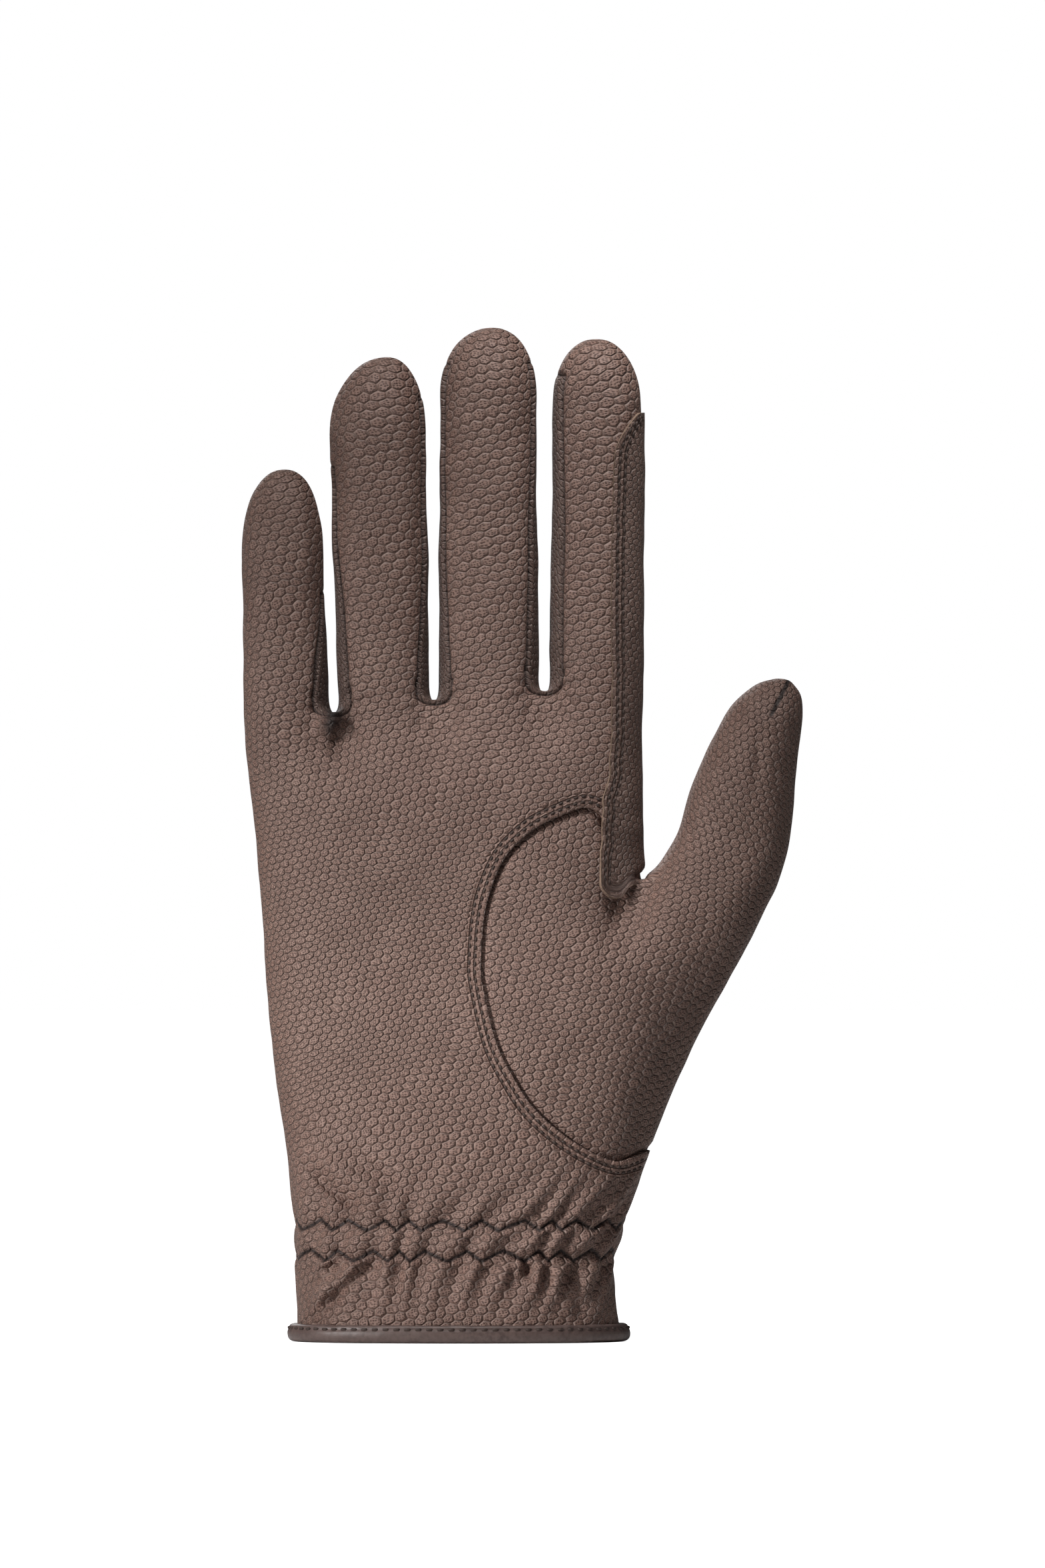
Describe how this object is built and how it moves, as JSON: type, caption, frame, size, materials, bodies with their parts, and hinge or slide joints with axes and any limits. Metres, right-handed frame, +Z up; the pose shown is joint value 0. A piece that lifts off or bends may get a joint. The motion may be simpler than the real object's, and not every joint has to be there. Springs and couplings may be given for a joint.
{
  "type": "riding glove",
  "caption": "Right-hand riding glove in embossed brown synthetic leather, fingers up, with a gathered wrist, a rolled hem binding and a patch along the index finger.",
  "frame": {"origin": "middle of the wrist opening, in the plane of the hem's underside, where the hand comes in", "axes": "+Z up from the hem to the fingertips, +X towards the thumb, +Y towards the back of the hand, so the palm faces -Y"},
  "size_m": [0.1327, 0.0468, 0.24],
  "materials": {
    "palm_leather": "brown synthetic leather embossed with small irregular cells, satin",
    "back_leather": "brown synthetic leather embossed with small irregular cells, satin",
    "thumb_leather": "brown synthetic leather embossed with small irregular cells, satin",
    "fourchette_leather": "brown synthetic leather embossed with small irregular cells, satin",
    "patch_leather": "brown synthetic leather embossed with small irregular cells, satin, with a pale cut edge",
    "binding_leather": "darker smooth brown leather, rolled, with fine wrinkles and a soft sheen"
  },
  "bodies": {
    "root": {"palm_panel": "palm_leather", "back_panel": "back_leather", "thumb_piece": "thumb_leather", "fourchette_little_ring": "fourchette_leather", "fourchette_ring_middle": "fourchette_leather", "fourchette_middle_index": "fourchette_leather", "index_side_patch": "patch_leather", "hem_binding": "binding_leather"}
  },
  "joints": []
}
